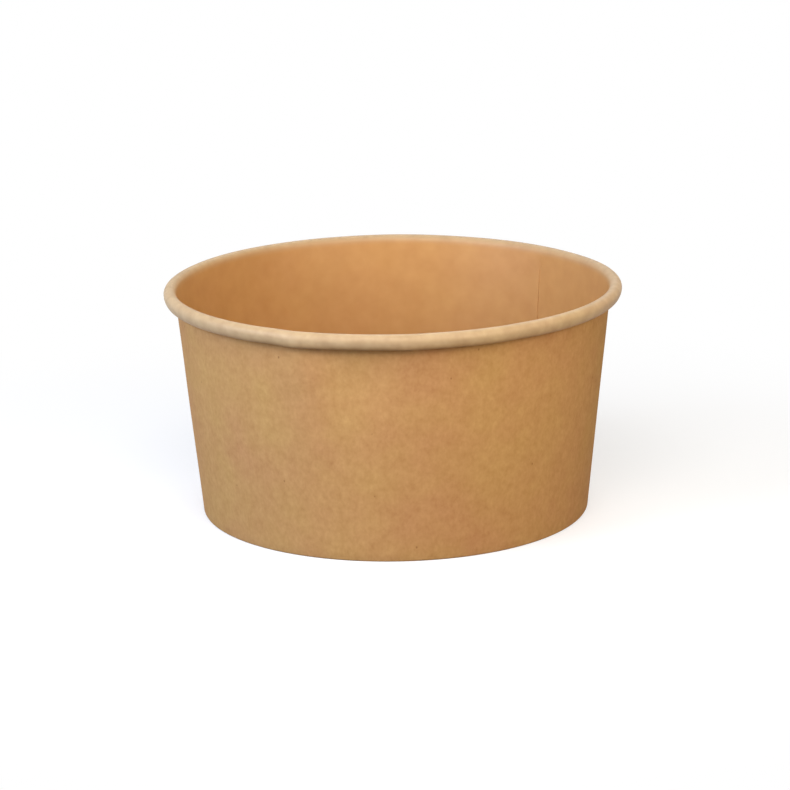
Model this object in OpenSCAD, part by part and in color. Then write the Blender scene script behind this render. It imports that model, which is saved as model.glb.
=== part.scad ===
// Paper salad bowl: a conical paperboard wall with a rolled rim, sealed round a
// down-turned base disc. The origin is the centre of the standing edge, +Z is up,
// and -Y is the front. Sizes are in millimetres, angles in degrees.

/* [Bowl] */
// Diameter across the rolled rim
rim_d = 150; // [130:1:180]
// Diameter of the wall's outer face, run down to the standing plane
base_d = 128; // [100:1:140]
// Height from the standing edge to the top of the rim
bowl_h = 75.7; // [45:0.1:110]

/* [Paperboard] */
// Thickness of the wall's board
wall_t = 0.42; // [0.3:0.01:0.55]
// Thickness of the base disc's board
disc_t = 0.38; // [0.25:0.01:0.55]
// Clearance left by the melted coating between the skirt and the wall
seal_gap = 0.05; // [0.03:0.01:0.1]

/* [Rolled rim] */
// Width of the bead, from the wall's inner face outwards
bead_w = 4.1; // [3.2:0.1:6]
// Straight stretch between the bead's upper and lower bends
bead_side = 1.3; // [0.5:0.1:3]
// Clearance between the rolled-in edge and the wall
curl_gap = 0.12; // [0.06:0.02:0.3]

/* [Side seam] */
// Width of the overlap of the blank's two ends, at half height
seam_w = 8; // [5:0.5:12]
// Width of the slope where the outer end climbs over the inner one
ramp_w = 2.5; // [1.5:0.5:4]
// Direction that the middle of the seam faces, from +X towards +Y
seam_dir = 47; // [0:1:359]

/* [Base] */
// Height of the floor's upper face above the standing plane
floor_h = 8.5; // [6:0.5:15]
// Inner radius of the bend between the floor and its skirt
skirt_bend = 0.6; // [0.3:0.1:1.5]
// Distance from the floor's underside down to the top of the hem
hem_drop = 2; // [1:0.5:3]
// Depth to which the bottom fold is pressed flat
fold_press = 0.1; // [0.05:0.01:0.2]

/* [Hidden] */
$fn = 180;
kraft_outside = "#C79C6C";
kraft_disc = "#BF9262";

// The wall rises from the standing plane at base_d and runs on, without a kink, into
// the upper bend of the rim, so that bend's place sets the wall's taper and length.
bend_r = bead_w / 2;
base_to_bend = [(rim_d - base_d) / 2 - bend_r, bowl_h - bend_r];
taper = atan2(base_to_bend.x, base_to_bend.y)
    - asin((bend_r - wall_t) / norm(base_to_bend));
wall_l = sqrt(norm(base_to_bend) ^ 2 - (bend_r - wall_t) ^ 2);

// The bottom fold is a half turn round the skirt's lower edge.
fold_r = disc_t / 2 + seal_gap;
fold_x = -wall_t - fold_r;
fold_y = (fold_r + wall_t - fold_press + fold_x * sin(taper)) / cos(taper);
hem_y = (floor_h - disc_t - hem_drop) / cos(taper) + (fold_x - fold_r) * tan(taper);

// The skirt lies against the wall's inner face and turns into the level floor.
disc_bend_r = skirt_bend + disc_t;
disc_bend_x = -wall_t - seal_gap - disc_bend_r;
disc_bend_y = (floor_h - disc_bend_r + disc_bend_x * sin(taper)) / cos(taper);

// The rim's lower bend brings the board back in beside the wall.
lower_bend_r = (bead_w - wall_t - curl_gap) / 2;
under_rim_y = wall_l - bead_side - lower_bend_r;

mid_r = (rim_d + base_d) / 4;
seam_a = seam_w / mid_r * 180 / PI;

// Places a section in the wall's own frame: x runs outwards from the outer face of
// a single ply, and y runs up the slope from the standing plane.
module in_wall_frame() {
    translate([base_d / 2, 0]) rotate(-taper) children();
}

// Board of thickness t that comes in along +x, bends clockwise by angle round the
// origin at the outer radius r, and goes straight on, with a flat leg at each end
module bent_board(angle, r, t, leg_in, leg_out) {
    translate([-leg_in, r - t]) square([leg_in, t]);
    difference() {
        circle(r);
        circle(r - t);
        translate([-2 * r, -2 * r]) square([2 * r, 4 * r]);
        rotate(-angle) translate([0, -2 * r]) square([2 * r, 4 * r]);
    }
    rotate(-angle) translate([0, r - t]) square([leg_out, t]);
}

// Cuts a section off at the standing plane, as the pressed fold is
module above_standing_plane() {
    difference() {
        children();
        translate([0, -bowl_h]) square([rim_d, bowl_h]);
    }
}

// Section of the blank away from the seam. The wall runs up over the rim's upper bend,
// turns back up inside the bead at the lower one, and turns in and up at the bottom as
// the hem. Neighbouring bends share a stretch of straight board.
module blank_section() {
    above_standing_plane() in_wall_frame() {
        translate([bend_r - wall_t, wall_l]) rotate(90)
            bent_board(180, bend_r, wall_t, wall_l - fold_y, bead_side);
        translate([curl_gap + lower_bend_r, wall_l - bead_side]) rotate(-90)
            bent_board(180, lower_bend_r, wall_t, bead_side / 2, bead_side);
        translate([fold_x, fold_y]) rotate(-90)
            bent_board(180, fold_r + wall_t, wall_t, hem_y - fold_y, hem_y - fold_y);
    }
}

// Section of the outer ply, from under the rim to the hem's edge. It reaches half
// way into the ply below it, to which it is sealed. The blank's upper corners are
// cropped, so that the rim rolls up in a single board.
module outer_ply_section() {
    seal = wall_t / 2;
    above_standing_plane() in_wall_frame() translate([fold_x, fold_y]) rotate(-90)
        bent_board(180, fold_r + 2 * wall_t, wall_t + seal, under_rim_y - fold_y,
            hem_y - fold_y);
}

// Runs a plan up the wall's slope, where x is outwards and y is along the wall. It
// stops a little short of the bottom fold and of top_y.
module along_wall(dir, top_y) {
    rotate(dir) translate([base_d / 2, 0, 0]) rotate([0, taper, 0])
        translate([0, 0, fold_y + wall_t]) linear_extrude(top_y - fold_y - 2 * wall_t)
            children();
}

// One fan-shaped blank, lapped on itself at the seam, rolled at the rim and hemmed.
// Past the inner ply's cut edge the outer ply slopes in to become the single wall,
// so there is a slope outside the wall and a groove of the same depth inside it. It is
// all drawn with the seam facing +Y, and then turned.
module side_wall() {
    drawn_dir = 90;
    cut_edge_dir = drawn_dir - seam_a / 2;
    color(kraft_outside) rotate(seam_dir - drawn_dir) difference() {
        union() {
            rotate_extrude() blank_section();
            rotate_extrude(angle = seam_a, start = cut_edge_dir) outer_ply_section();
            along_wall(cut_edge_dir, under_rim_y) polygon([
                [-wall_t / 2, 0], [wall_t, 0],
                [-wall_t / 4, -ramp_w], [-wall_t / 2, -ramp_w]
            ]);
        }
        along_wall(cut_edge_dir, wall_l)
            polygon([[0, 0], [-2 * wall_t, -2 * ramp_w], [-2 * wall_t, 0]]);
    }
}

// Punched disc with its edge turned down as a skirt, parallel to the wall
module base_disc() {
    bend_at = [
        base_d / 2 + disc_bend_y * sin(taper) + disc_bend_x * cos(taper),
        floor_h - disc_bend_r
    ];
    color(kraft_disc) rotate_extrude() {
        translate([0, floor_h - disc_t]) square([bend_at.x, disc_t]);
        translate(bend_at)
            bent_board(90 + taper, disc_bend_r, disc_t, bend_at.x / 2, disc_bend_y - fold_y);
    }
}

side_wall();
base_disc();
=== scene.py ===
import math

import bmesh
import bpy
from mathutils import Euler, Matrix, Vector


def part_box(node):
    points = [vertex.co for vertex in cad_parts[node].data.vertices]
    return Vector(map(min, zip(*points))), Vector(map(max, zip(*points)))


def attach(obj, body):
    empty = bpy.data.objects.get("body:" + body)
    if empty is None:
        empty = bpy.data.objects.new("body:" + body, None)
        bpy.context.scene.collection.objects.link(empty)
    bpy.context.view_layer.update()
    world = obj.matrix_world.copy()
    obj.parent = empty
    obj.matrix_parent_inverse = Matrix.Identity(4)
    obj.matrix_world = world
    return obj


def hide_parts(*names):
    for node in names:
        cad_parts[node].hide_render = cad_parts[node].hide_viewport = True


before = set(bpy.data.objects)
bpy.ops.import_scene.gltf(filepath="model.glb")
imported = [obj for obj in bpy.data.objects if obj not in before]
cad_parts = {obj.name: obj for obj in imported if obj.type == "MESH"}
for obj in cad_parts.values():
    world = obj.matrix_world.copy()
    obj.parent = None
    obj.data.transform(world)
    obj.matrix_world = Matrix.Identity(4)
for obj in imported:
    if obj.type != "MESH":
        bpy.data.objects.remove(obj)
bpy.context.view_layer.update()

# Side wall: one fan-shaped blank of unbleached kraft paperboard, film-coated on the food side.
# It is bent into a cone and sealed where its ends lap, its top is rolled outwards into the
# rim's bead, and its foot is folded in and up as a hem that grips the base disc's skirt.
RIM_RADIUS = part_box("side_wall")[1].x
BOWL_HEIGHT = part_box("side_wall")[1].z
FLOOR_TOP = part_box("base_disc")[1].z
FOOT_RADIUS = 0.064
BOARD = 0.00042
BEAD_WIDTH = 0.0041
BEAD_SIDE = 0.0012
CURL_GAP = 0.00012
FOLD_ROOM = 0.00024
FOLD_PRESS = 0.0001
HEM_DROP = 0.00238
SEAM_AT = math.radians(47)
SEAM_WIDTH = 0.008
COLUMNS = 360
LAP_COLUMNS = 6
WALL_ROWS = 22
SHARP_ANGLE = math.radians(40)

upper_bend = BEAD_WIDTH / 2
lower_bend = (BEAD_WIDTH - BOARD - CURL_GAP) / 2
bend_run = RIM_RADIUS - FOOT_RADIUS - upper_bend
bend_rise = BOWL_HEIGHT - upper_bend
bend_reach = math.hypot(bend_run, bend_rise)
taper = math.atan2(bend_run, bend_rise) - math.asin((upper_bend - BOARD) / bend_reach)
wall_length = math.sqrt(bend_reach ** 2 - (upper_bend - BOARD) ** 2)
under_rim = wall_length - BEAD_SIDE - lower_bend
fold_x = -BOARD - FOLD_ROOM
fold_y = (FOLD_ROOM + BOARD - FOLD_PRESS + fold_x * math.sin(taper)) / math.cos(taper)
hem_y = (FLOOR_TOP - HEM_DROP) / math.cos(taper) + (fold_x - FOLD_ROOM) * math.tan(taper)
mid_radius = (RIM_RADIUS + FOOT_RADIUS) / 2
lap_angle = SEAM_WIDTH / mid_radius
inner_cut = SEAM_AT - lap_angle / 2
column = math.tau / COLUMNS


def on_wall(point):
    """Radius and height of a point given as out from the wall's outer face and up its slope."""
    out, up = point
    return (FOOT_RADIUS + out * math.cos(taper) + up * math.sin(taper),
            up * math.cos(taper) - out * math.sin(taper))


def arc(centre, radius, start, end, steps):
    """Points along an arc of the wall's section, after its first one."""
    angles = [start + (end - start) * k / steps for k in range(1, steps + 1)]
    return [(centre[0] + radius * math.cos(a), centre[1] + radius * math.sin(a)) for a in angles]


def turn_from_cut(place):
    """Angle round the bowl from the inner ply's cut edge to a place, at most half a turn either way."""
    return math.remainder(math.atan2(place.y, place.x) - inner_cut, math.tau)


def pick(piece, kind, wanted):
    """Leaves piece in edit mode with only those vertices, edges or faces selected that wanted accepts."""
    bpy.context.view_layer.objects.active = piece
    bpy.ops.object.mode_set(mode="EDIT")
    bpy.ops.mesh.select_mode(type={"verts": "VERT", "edges": "EDGE", "faces": "FACE"}[kind])
    bpy.ops.mesh.select_all(action="DESELECT")
    mesh = bmesh.from_edit_mesh(piece.data)
    for element in getattr(mesh, kind):
        element.select_set(wanted(element))
    bmesh.update_edit_mesh(piece.data)


def mark(piece, name, value):
    """Gives the selected vertices of the board a value that stays with them."""
    mesh = bmesh.from_edit_mesh(piece.data)
    layer = mesh.verts.layers.float[name]
    for vertex in mesh.verts:
        if vertex.select:
            vertex[layer] = value


def marked(piece, vertex, name):
    """Value that mark gave to a vertex."""
    return vertex[bmesh.from_edit_mesh(piece.data).verts.layers.float[name]]


def fold_on(piece, start, section, along, direction):
    """Extrudes the selected ring of board along a section, a list of points out from and up the wall."""
    last = start
    for point in section:
        radius, height = on_wall(point)
        last_radius, last_height = on_wall(last)
        bpy.ops.mesh.extrude_edges_move(TRANSFORM_OT_translate={"value": (0, 0, height - last_height)})
        bpy.ops.transform.resize(value=(radius / last_radius, radius / last_radius, 1),
                                 center_override=(0, 0, 0))
        along += direction * math.dist(point, last)
        mark(piece, "along", along)
        last = point


bpy.ops.object.select_all(action="DESELECT")
wall_foot = (-BOARD / 2, fold_y)
wall_head = (-BOARD / 2, under_rim)
foot_radius, foot_height = on_wall(wall_foot)
head_radius, head_height = on_wall(wall_head)
bpy.ops.mesh.primitive_cone_add(
    vertices=COLUMNS, radius1=foot_radius, radius2=head_radius, depth=head_height - foot_height,
    end_fill_type="NOTHING", calc_uvs=False, location=(0, 0, (head_height + foot_height) / 2),
    rotation=(0, 0, inner_cut - math.pi / 2))
side_wall = bpy.context.object
side_wall.name = side_wall.data.name = "folded_side_wall"
bpy.ops.object.transform_apply(location=True, rotation=True, scale=True)
side_wall.data.attributes.new("along", "FLOAT", "POINT")
side_wall.data.attributes.new("climb", "FLOAT", "POINT")

# The wall's upright edges get rows, so that it can bow and crease as thin board does.
pick(side_wall, "edges", lambda e: abs(e.verts[0].co.z - e.verts[1].co.z) > BOWL_HEIGHT / 2)
bpy.ops.mesh.subdivide(number_cuts=WALL_ROWS - 1)
for row in range(WALL_ROWS + 1):
    row_height = foot_height + (head_height - foot_height) * row / WALL_ROWS
    pick(side_wall, "verts", lambda v: abs(v.co.z - row_height) < BOARD / 4)
    mark(side_wall, "along", row_height / math.cos(taper))

# Rim: on up the wall and over the upper bend. The outside rounds off more and more towards its
# lower edge, and there the board turns in and goes up again inside.
bead_axis = (upper_bend - BOARD, wall_length)
curl_axis = (CURL_GAP + lower_bend, wall_length - BEAD_SIDE)
rim_section = [(-BOARD / 2, (under_rim + wall_length) / 2), (-BOARD / 2, wall_length)]
rim_section += arc(bead_axis, upper_bend - BOARD / 2, math.pi, 0, 14)
bead_drop = (lower_bend - BOARD / 2 + BEAD_SIDE) / (lower_bend - BOARD / 2)
rim_section += [(out, wall_length + up * bead_drop)
                for out, up in arc((curl_axis[0], 0), lower_bend - BOARD / 2, 0, -math.pi / 2, 12)]
rim_section += arc(curl_axis, lower_bend - BOARD / 2, -math.pi / 2, -math.pi, 6)
rim_section += [(CURL_GAP + BOARD / 2, wall_length)]
pick(side_wall, "edges", lambda e: min(v.co.z for v in e.verts) > head_height - BOARD / 4)
fold_on(side_wall, wall_head, rim_section, head_height / math.cos(taper), 1)

# Foot: half a turn inwards, and up inside the skirt as the hem.
hem_x = fold_x - FOLD_ROOM - BOARD / 2
foot_section = arc((fold_x, fold_y), FOLD_ROOM + BOARD / 2, 0, -math.pi, 10)
foot_section += [(hem_x, fold_y + (hem_y - fold_y) * share) for share in (0.5, 1)]
pick(side_wall, "edges", lambda e: max(v.co.z for v in e.verts) < foot_height + BOARD / 4)
fold_on(side_wall, wall_foot, foot_section, foot_height / math.cos(taper), -1)


def below_bead(vertex):
    """Whether a vertex lies in the part of the blank that isn't rolled into the bead."""
    return marked(side_wall, vertex, "along") < head_height / math.cos(taper) + BOARD / 4


def cut_line(edge):
    """Whether an edge lies on the line where the cone is cut, below the bead."""
    return all(abs(turn_from_cut(v.co)) < column / 10 and below_bead(v) for v in edge.verts)


# Seam: the cone is cut from under the bead to the hem's edge. One end is drawn out over the other,
# and climbs on the way by shares of the board's thickness, each at so many columns from the cut.
CUT_LIFTS = {1: 0.3, -1: 0.85}
CLIMB = {-3: 0.15, -2: 0.4, -1: 0.65, 1: 0.12}
pick(side_wall, "edges", cut_line)
bpy.ops.mesh.edge_split(type="EDGE")
for side, share in CUT_LIFTS.items():
    pick(side_wall, "edges", lambda e: e.is_boundary and cut_line(e)
         and turn_from_cut(e.link_faces[0].calc_center_median()) * side > 0)
    mark(side_wall, "climb", share)
for _ in range(LAP_COLUMNS):
    bpy.ops.mesh.extrude_edges_move()
    bpy.ops.transform.rotate(value=-lap_angle / LAP_COLUMNS, orient_axis="Z", center_override=(0, 0, 0))
for columns, share in CLIMB.items():
    pick(side_wall, "verts", lambda v: abs(turn_from_cut(v.co) - column * columns) < column / 10
         and below_bead(v) and marked(side_wall, v, "climb") < 0.5)
    mark(side_wall, "climb", share)
for share in sorted([*CUT_LIFTS.values(), *CLIMB.values()]):
    pick(side_wall, "verts", lambda v: abs(marked(side_wall, v, "climb") - share) < 0.01)
    bpy.ops.transform.shrink_fatten(value=BOARD * share)

# The press lifts both plies of the fold there by a board's thickness, in three steps, so that the
# foot stays level under the seam.
for reach in (2.5, 1.5, 0.5):
    pick(side_wall, "verts", lambda v: -reach * column < turn_from_cut(v.co) < lap_angle + reach * column
         and marked(side_wall, v, "along") < (foot_height + BOARD / 4) / math.cos(taper))
    bpy.ops.transform.translate(value=(0, 0, BOARD / 3))


def push(piece, turn, height, move, reach, falloff):
    """Moves the sheet near one place on the bowl, outwards and up, and what is near it with it."""
    there = Vector((math.cos(turn), math.sin(turn), 0)) * (FOOT_RADIUS + height * math.tan(taper))
    there.z = height
    mesh = bmesh.from_edit_mesh(piece.data)
    nearest = min(mesh.verts, key=lambda v: (v.co - there).length)
    pick(piece, "verts", lambda v: v == nearest)
    bpy.ops.transform.translate(value=(math.cos(turn) * move[0], math.sin(turn) * move[0], move[1]),
                                use_proportional_edit=True, proportional_edit_falloff=falloff,
                                proportional_size=reach)


# The bowl has been stacked and handled: the front has a soft upright crease left of the middle,
# with a shallow hollow beside it, and the bead isn't quite even.
CREASE_AT = math.radians(246.5)
CREASE_REACH = 0.012
HOLLOW_AT = math.radians(262)
HOLLOW_HEIGHT = 0.062
HOLLOW_DEPTH = 0.0006
HOLLOW_REACH = 0.018
KINK_HEIGHT = 0.0712
KINK_REACH = 0.008
for height, out in ((0.066, 0.0009), (0.054, 0.0005), (0.042, 0.0003)):
    push(side_wall, CREASE_AT, height, (out, 0), CREASE_REACH, "LINEAR")
push(side_wall, HOLLOW_AT, HOLLOW_HEIGHT, (-HOLLOW_DEPTH, 0), HOLLOW_REACH, "SMOOTH")
for degrees, out, up in ((239, -0.00025, 0.00015), (246, 0.0002, -0.0001),
                         (275, 0.00022, -0.00015), (303, -0.0002, 0.00012)):
    push(side_wall, math.radians(degrees), KINK_HEIGHT, (out, up), KINK_REACH, "SMOOTH")
bpy.ops.object.mode_set(mode="OBJECT")

# The whole wall is a little out of round. It bows in waves about 7 cm long, freely at the rim and
# not at all near the foot, which the base disc holds round.
HELD_HEIGHT = 0.012
FREE_HEIGHT = 0.057
BOW_LENGTH = 0.07
BOW_DEPTH = 0.0009
weights = side_wall.vertex_groups.new(name="freedom")
for vertex in side_wall.data.vertices:
    freedom = (vertex.co.z - HELD_HEIGHT) / (FREE_HEIGHT - HELD_HEIGHT)
    weights.add([vertex.index], min(1, max(0, freedom)), "REPLACE")
drift = bpy.data.textures.new("board_drift", "CLOUDS")
drift.cloud_type = "COLOR"
drift.noise_scale = BOW_LENGTH
drift.noise_depth = 1
bowing = side_wall.modifiers.new("bowing", "DISPLACE")
bowing.texture = drift
bowing.texture_coords = "LOCAL"
bowing.direction = "RGB_TO_XYZ"
bowing.vertex_group = "freedom"
bowing.strength = BOW_DEPTH
bpy.context.view_layer.objects.active = side_wall
bpy.ops.object.modifier_apply(modifier="bowing")

# The blank's flat pattern is its UV map, in metres: round the bowl and along the board.
pattern = side_wall.data.uv_layers.new(name="blank")
along = side_wall.data.attributes["along"].data
for face in side_wall.data.polygons:
    middle = turn_from_cut(face.center)
    for corner in face.loop_indices:
        place = side_wall.data.loops[corner].vertex_index
        turn = turn_from_cut(side_wall.data.vertices[place].co)
        turn = middle + math.remainder(turn - middle, math.tau)
        pattern.data[corner].uv = (turn * mid_radius, along[place].value)


def thicken(piece, thickness):
    """Turns a sheet into board: outside first, then the food side, then the cut edges."""
    board = piece.modifiers.new("board", "SOLIDIFY")
    board.thickness = thickness
    board.offset = 0
    board.use_even_offset = True
    board.material_offset = 1
    board.material_offset_rim = 2
    bpy.context.view_layer.objects.active = piece
    bpy.ops.object.modifier_apply(modifier="board")


def linear(hex_colour):
    """Linear colour of an sRGB hex value."""
    channels = [int(hex_colour[k:k + 2], 16) / 255 for k in (1, 3, 5)]
    return [c / 12.92 if c <= 0.04045 else ((c + 0.055) / 1.055) ** 2.4 for c in channels] + [1]


def add_node(owner, kind, settings, inputs):
    """Adds a shader node to a material or world. An input is a plain value or another node's output."""
    node = owner.node_tree.nodes.new("ShaderNode" + kind)
    for name, value in settings.items():
        setattr(node, name, value)
    for name, value in inputs.items():
        if isinstance(value, bpy.types.NodeSocket):
            owner.node_tree.links.new(value, node.inputs[name])
        else:
            node.inputs[name].default_value = value
    return node


def new_material(name, roughness, gloss, ior):
    """A material whose shader has its constant settings made on its own sockets."""
    material = bpy.data.materials.new(name)
    material.use_nodes = True
    shader = material.node_tree.nodes["Principled BSDF"]
    shader.inputs["Roughness"].default_value = roughness
    shader.inputs["Specular IOR Level"].default_value = gloss
    shader.inputs["IOR"].default_value = ior
    return material, shader


# Unbleached kraft liner: brown pulp pressed on the machine and left bare. It is dull, it drifts
# between a yellower and a redder brown about every 2 cm, and a few dark shives show in it.
bare_kraft, bare_shader = new_material("bare_kraft_liner", 0.85, 0.2, 1.5)
coordinates = add_node(bare_kraft, "TexCoord", {}, {})
drifting = add_node(bare_kraft, "TexNoise", {}, {
    "Vector": coordinates.outputs["Object"], "Scale": 1 / 0.022, "Detail": 2})
pulp = add_node(bare_kraft, "Mix", {"data_type": "RGBA"}, {
    0: drifting.outputs["Fac"], 6: linear("#B99456"), 7: linear("#B47F57")})

# Its mottle: clouds of pulp 4.5 mm across, then bundles of fibres 2.4 and 1.2 mm long that lie a
# little more up the board than round it. Single fibres are too fine to show, so the last are coarse.
grain = add_node(bare_kraft, "Mapping", {}, {"Vector": coordinates.outputs["UV"], "Scale": (1.4, 1, 1)})
bare = pulp.outputs[2]
for vector, size, strength in ((coordinates.outputs["Object"], 0.0045, 0.20),
                               (grain.outputs["Vector"], 0.0024, 0.24),
                               (grain.outputs["Vector"], 0.0012, 0.08)):
    mottle = add_node(bare_kraft, "TexNoise", {}, {"Vector": vector, "Scale": 1 / size, "Detail": 2})
    bare = add_node(bare_kraft, "Mix", {"data_type": "RGBA", "blend_type": "SOFT_LIGHT"}, {
        0: strength, 6: bare, 7: mottle.outputs["Fac"]}).outputs[2]

# Its shives: slivers of unpulped wood just under a millimetre long, one every centimetre or so.
SHIVE_SPACING = 0.011
SHIVE_CORE = 0.00033
SHIVE_RADIUS = 0.000495
cells = add_node(bare_kraft, "TexVoronoi", {}, {
    "Vector": grain.outputs["Vector"], "Scale": 1 / SHIVE_SPACING})
shive = add_node(bare_kraft, "MapRange", {}, {
    "Value": cells.outputs["Distance"], "From Min": SHIVE_CORE / SHIVE_SPACING,
    "From Max": SHIVE_RADIUS / SHIVE_SPACING, "To Min": 0.55, "To Max": 0})
speckled = add_node(bare_kraft, "Mix", {"data_type": "RGBA"}, {
    0: shive.outputs["Result"], 6: bare, 7: linear("#7A5230")})
bare_kraft.node_tree.links.new(speckled.outputs[2], bare_shader.inputs["Base Color"])

# Its tooth: the felt's mark on the dry sheet, 1.2 mm from bump to bump, which keeps it from shining.
tooth = add_node(bare_kraft, "TexNoise", {}, {"Vector": grain.outputs["Vector"], "Scale": 1 / 0.0012,
                                              "Detail": 3})
relief = add_node(bare_kraft, "Bump", {}, {"Height": tooth.outputs["Fac"], "Strength": 0.3,
                                           "Distance": 0.0001})
bare_kraft.node_tree.links.new(relief.outputs["Normal"], bare_shader.inputs["Normal"])

# Film-coated kraft: the same board under a thin clear film, warmer, smoother and satin. Where the
# board is stretched over the bead the film goes milky, so the bead is cream and fades into the bowl.
# From the bead's widest point down over its underside the cream is turned back towards brown: that is
# painted shade, where the bead turns down away from the light.
MILKY_FROM = wall_length - 0.0015
MILKY_TO = wall_length + 0.0022
BLOTCHED_TO = wall_length + 0.0030
# Painted shade: over these two lengths along the board, the bead's lower outside and underside are darkened
# back towards brown.
PAINTED_SHADE_FROM = wall_length + 0.0062
PAINTED_SHADE_TO = wall_length + 0.0090
coated_kraft, coated_shader = new_material("film_coated_kraft", 0.5, 0.25, 1.5)
coordinates = add_node(coated_kraft, "TexCoord", {}, {})
drifting = add_node(coated_kraft, "TexNoise", {}, {
    "Vector": coordinates.outputs["Object"], "Scale": 1 / 0.020, "Detail": 2})
warm = add_node(coated_kraft, "Mix", {"data_type": "RGBA"}, {
    0: drifting.outputs["Fac"], 6: linear("#B98B51"), 7: linear("#B78653")})
milk = add_node(coated_kraft, "Mix", {"data_type": "RGBA"}, {
    0: drifting.outputs["Fac"], 6: linear("#B89C72"), 7: linear("#B59774")})
along_board = add_node(coated_kraft, "SeparateXYZ", {}, {"Vector": coordinates.outputs["UV"]})
milky = add_node(coated_kraft, "MapRange", {"interpolation_type": "SMOOTHSTEP"}, {
    "Value": along_board.outputs["Y"], "From Min": MILKY_FROM, "From Max": MILKY_TO})
# Painted shade on the bead's lower side and underside: the milky share falls from 1 to 0.35 there.
painted_bead_shade = add_node(coated_kraft, "MapRange", {"interpolation_type": "SMOOTHSTEP"}, {
    "Value": along_board.outputs["Y"], "From Min": PAINTED_SHADE_FROM, "From Max": PAINTED_SHADE_TO, "To Min": 1,
    "To Max": 0.35})
# The milky share, times the painted shade under the bead.
milk_and_painted_shade = add_node(coated_kraft, "Math", {"operation": "MULTIPLY"}, {
    0: milky.outputs["Result"], 1: painted_bead_shade.outputs["Result"]})
tinted = add_node(coated_kraft, "Mix", {"data_type": "RGBA"}, {
    0: milk_and_painted_shade.outputs[0], 6: warm.outputs[2], 7: milk.outputs[2]})
cloudy = add_node(coated_kraft, "TexNoise", {}, {
    "Vector": coordinates.outputs["Object"], "Scale": 1 / 0.006, "Detail": 2})
film = add_node(coated_kraft, "Mix", {"data_type": "RGBA", "blend_type": "SOFT_LIGHT"}, {
    0: 0.2, 6: tinted.outputs[2], 7: cloudy.outputs["Fac"]})

# The stretched film is blotchy too, in spots about 3 mm across that show on the bead alone.
strained = add_node(coated_kraft, "MapRange", {}, {
    "Value": along_board.outputs["Y"], "From Min": wall_length, "From Max": BLOTCHED_TO, "To Max": 0.25})
blotches = add_node(coated_kraft, "TexNoise", {}, {
    "Vector": coordinates.outputs["Object"], "Scale": 1 / 0.003, "Detail": 3})
film = add_node(coated_kraft, "Mix", {"data_type": "RGBA", "blend_type": "SOFT_LIGHT"}, {
    0: strained.outputs["Result"], 6: film.outputs[2], 7: blotches.outputs["Fac"]})
coated_kraft.node_tree.links.new(film.outputs[2], coated_shader.inputs["Base Color"])

# Cut edge: the bare middle of the board, where the die has torn the fibres pale and rough.
cut_edge, cut_shader = new_material("cut_board_edge", 0.9, 0.2, 1.5)
coordinates = add_node(cut_edge, "TexCoord", {}, {})
fluff = add_node(cut_edge, "TexNoise", {}, {
    "Vector": coordinates.outputs["Object"], "Scale": 1 / 0.0012, "Detail": 3})
torn = add_node(cut_edge, "Mix", {"data_type": "RGBA"}, {
    0: fluff.outputs["Fac"], 6: linear("#D9B27F"), 7: linear("#AF8150")})
cut_edge.node_tree.links.new(torn.outputs[2], cut_shader.inputs["Base Color"])

for material in (bare_kraft, coated_kraft, cut_edge):
    side_wall.data.materials.append(material)
thicken(side_wall, BOARD)
pick(side_wall, "verts", lambda v: v.co.z < 0)
bpy.ops.transform.resize(value=(1, 1, 0), center_override=(0, 0, 0))
bpy.ops.object.mode_set(mode="OBJECT")
bpy.ops.object.shade_smooth_by_angle(angle=SHARP_ANGLE)
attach(side_wall, "root")
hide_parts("side_wall")

# Base disc: a punched disc of the same board, coated side up. Its edge is turned down as a skirt,
# which is sealed between the wall and the hem, so that the floor hangs clear of the table.
DISC_BOARD = 0.00038
SEAL_GAP = 0.00005
SKIRT_BEND = 0.0006
FLOOR_RINGS = 12
FLOOR_SAG = 0.0004
SAG_REACH = 0.0576
disc_bend = SKIRT_BEND + DISC_BOARD / 2
disc_bend_x = -BOARD - SEAL_GAP - SKIRT_BEND - DISC_BOARD
disc_bend_y = (FLOOR_TOP - SKIRT_BEND - DISC_BOARD + disc_bend_x * math.sin(taper)) / math.cos(taper)
bend_radius, bend_height = on_wall((disc_bend_x, disc_bend_y))
skirt_section = arc((disc_bend_x, disc_bend_y), disc_bend, math.pi / 2 + taper, 0, 8)
skirt_section += [(disc_bend_x + disc_bend, disc_bend_y + (fold_y - disc_bend_y) * share)
                  for share in (0.5, 1)]
bpy.ops.object.select_all(action="DESELECT")
bpy.ops.mesh.primitive_circle_add(
    vertices=COLUMNS // 2, radius=bend_radius / FLOOR_RINGS, fill_type="TRIFAN", calc_uvs=False,
    location=(0, 0, bend_height + disc_bend))
base_disc = bpy.context.object
base_disc.name = base_disc.data.name = "punched_base_disc"
bpy.ops.object.transform_apply(location=True, rotation=True, scale=True)
base_disc.data.attributes.new("along", "FLOAT", "POINT")
pick(base_disc, "edges", lambda e: e.is_boundary)
for ring in range(2, FLOOR_RINGS + 1):
    bpy.ops.mesh.extrude_edges_move()
    bpy.ops.transform.resize(value=(ring / (ring - 1), ring / (ring - 1), 1), center_override=(0, 0, 0))
skirt_start = (disc_bend_x + disc_bend * math.cos(math.pi / 2 + taper),
               disc_bend_y + disc_bend * math.sin(math.pi / 2 + taper))
fold_on(base_disc, skirt_start, skirt_section, bend_radius, 1)
bpy.ops.mesh.select_all(action="SELECT")
bpy.ops.mesh.normals_make_consistent(inside=False)
pick(base_disc, "verts", lambda v: v.co.to_2d().length < BOARD)
bpy.ops.transform.translate(value=(0, 0, -FLOOR_SAG), use_proportional_edit=True,
                            proportional_edit_falloff="SMOOTH", proportional_size=SAG_REACH)
bpy.ops.object.mode_set(mode="OBJECT")
sheet = base_disc.data.uv_layers.new(name="blank")
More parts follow.
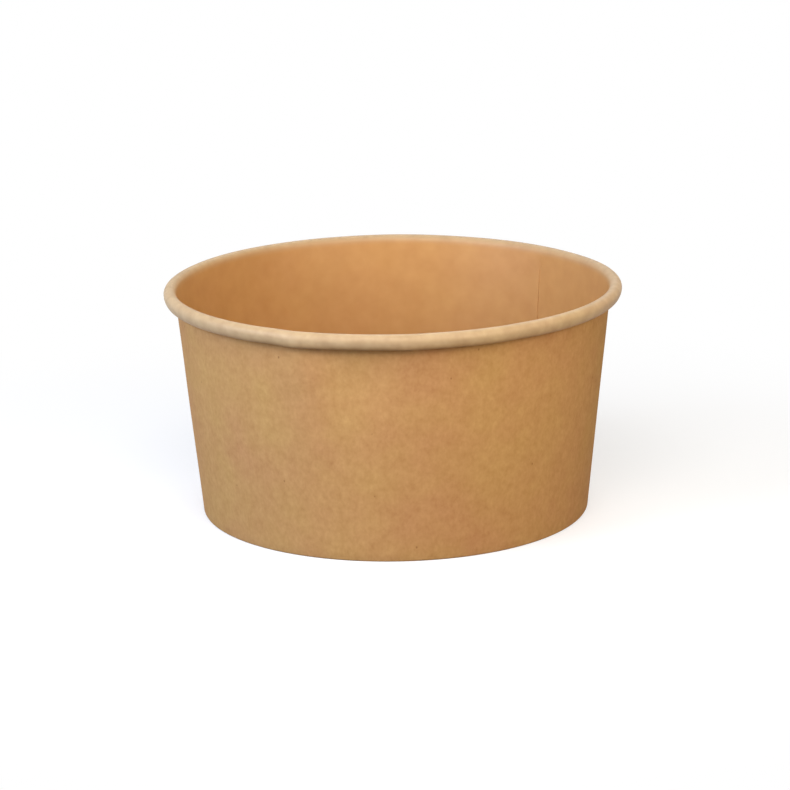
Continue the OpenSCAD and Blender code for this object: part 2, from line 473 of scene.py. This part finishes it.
for corner, loop in enumerate(base_disc.data.loops):
    sheet.data[corner].uv = base_disc.data.vertices[loop.vertex_index].co.xy
for material in (coated_kraft, bare_kraft, cut_edge):
    base_disc.data.materials.append(material)
thicken(base_disc, DISC_BOARD)
bpy.ops.object.shade_smooth_by_angle(angle=SHARP_ANGLE)
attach(base_disc, "root")
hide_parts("base_disc")

# Table: a plain pale sheet that the bowl stands on. The camera sees it white, with the bowl's
# shadow, which fades out well before the sheet's edge. The light that it throws back is dimmer.
TABLE_SIZE = 12
TABLE_DROP = 0.00005
SHADOW_FULL = 0.06
SHADOW_END = 0.26
SHADOW_SHARE = 0.5


def shown_plainly(owner):
    """1 where the camera sees a surface, straight or by way of gloss or glass, and 0 for bounced light."""
    ray = add_node(owner, "LightPath", {}, {})
    shown = ray.outputs["Is Camera Ray"]
    for other in ("Is Glossy Ray", "Is Transmission Ray"):
        both = add_node(owner, "Math", {"operation": "MAXIMUM"}, {0: shown, 1: ray.outputs[other]})
        shown = both.outputs[0]
    return shown


bpy.ops.object.select_all(action="DESELECT")
bpy.ops.mesh.primitive_plane_add(size=TABLE_SIZE, location=(0, 0, -TABLE_DROP))
table = bpy.context.object
table.name = "pale_table"
bpy.ops.object.transform_apply(location=True, rotation=True, scale=True)
pale, pale_shader = new_material("pale_paper_sheet", 0.9, 0, 1.5)
shown = shown_plainly(pale)
paper = add_node(pale, "Mix", {"data_type": "RGBA"}, {0: shown, 6: linear("#4E4C49"), 7: linear("#FFFFFF")})
pale.node_tree.links.new(paper.outputs[2], pale_shader.inputs["Base Color"])
coordinates = add_node(pale, "TexCoord", {}, {})
from_bowl = add_node(pale, "VectorMath", {"operation": "LENGTH"}, {0: coordinates.outputs["Object"]})
fading = add_node(pale, "MapRange", {"interpolation_type": "SMOOTHSTEP"}, {
    "Value": from_bowl.outputs["Value"], "From Min": SHADOW_FULL, "From Max": SHADOW_END,
    "To Min": 1 - SHADOW_SHARE, "To Max": 1})
whiteness = add_node(pale, "Math", {"operation": "MULTIPLY"}, {0: shown, 1: fading.outputs["Result"]})
glow = add_node(pale, "Emission", {}, {"Color": (1, 1, 1, 1), "Strength": 1.0})
lit_sheet = add_node(pale, "MixShader", {}, {
    0: whiteness.outputs[0], 1: pale_shader.outputs[0], 2: glow.outputs[0]})
pale.node_tree.links.new(lit_sheet.outputs[0], pale.node_tree.nodes["Material Output"].inputs["Surface"])
table.data.materials.append(pale)


# Light: a broad cool window at the left, a faintly warm lamp low at the right, a soft light high in
# front, a large one for the back, and a room that the camera sees white but that lights very little.
def add_lamp(name, turn, height, distance, size, power, colour):
    """A square soft light that faces the bowl, from degrees round it and degrees up from the table."""
    towards = Vector((1, 0, 0))
    towards.rotate(Euler((0, -math.radians(height), math.radians(turn))))
    bpy.ops.object.light_add(type="AREA", location=towards * distance + Vector((0, 0, BOWL_HEIGHT / 2)),
                             rotation=towards.to_track_quat("Z", "Y").to_euler())
    lamp = bpy.context.object
    lamp.name = name
    lamp.data.size = size
    lamp.data.energy = power
    lamp.data.color = linear(colour)[:3]


add_lamp("left_window", 208, 22, 0.62, 0.40, 4.5, "#D9E5FF")
add_lamp("front_light", 266, 47, 0.75, 0.50, 3.8, "#FFFFFF")
add_lamp("right_lamp", 312, 20, 0.6, 0.34, 2.45, "#FFF0DC")
add_lamp("back_light", 80, 50, 1.4, 0.9, 7, "#FFFFFF")
ROOM_LIGHT = 0.05
world = bpy.data.worlds.new("white_room")
bpy.context.scene.world = world
world.use_nodes = True
room = world.node_tree.nodes["Background"]
room.inputs["Color"].default_value = (1, 1, 1, 1)
level = add_node(world, "MapRange", {}, {
    "Value": shown_plainly(world), "To Min": ROOM_LIGHT, "To Max": 1.0})
world.node_tree.links.new(level.outputs["Result"], room.inputs["Strength"])

# Camera: the photograph's view, found from the outlines of the rim, the wall and the foot.
CAMERA_DISTANCE = 0.9834
CAMERA_ELEVATION = math.radians(15.103)
CAMERA_ROLL = math.radians(-0.889)
CAMERA_LENS = 135.21
SENSOR_WIDTH = 36
AIM = Vector((0.000265, 0, 0.036943))
look = Vector((0, math.cos(CAMERA_ELEVATION), -math.sin(CAMERA_ELEVATION)))
tilt = Euler((math.pi / 2 - CAMERA_ELEVATION, 0, 0)).to_matrix() @ Matrix.Rotation(CAMERA_ROLL, 3, "Z")
bpy.ops.object.camera_add(location=AIM - look * CAMERA_DISTANCE, rotation=tilt.to_euler())
camera = bpy.context.object
camera.data.lens = CAMERA_LENS
camera.data.sensor_width = SENSOR_WIDTH
bpy.context.scene.camera = camera
bpy.context.scene.view_settings.view_transform = "Standard"
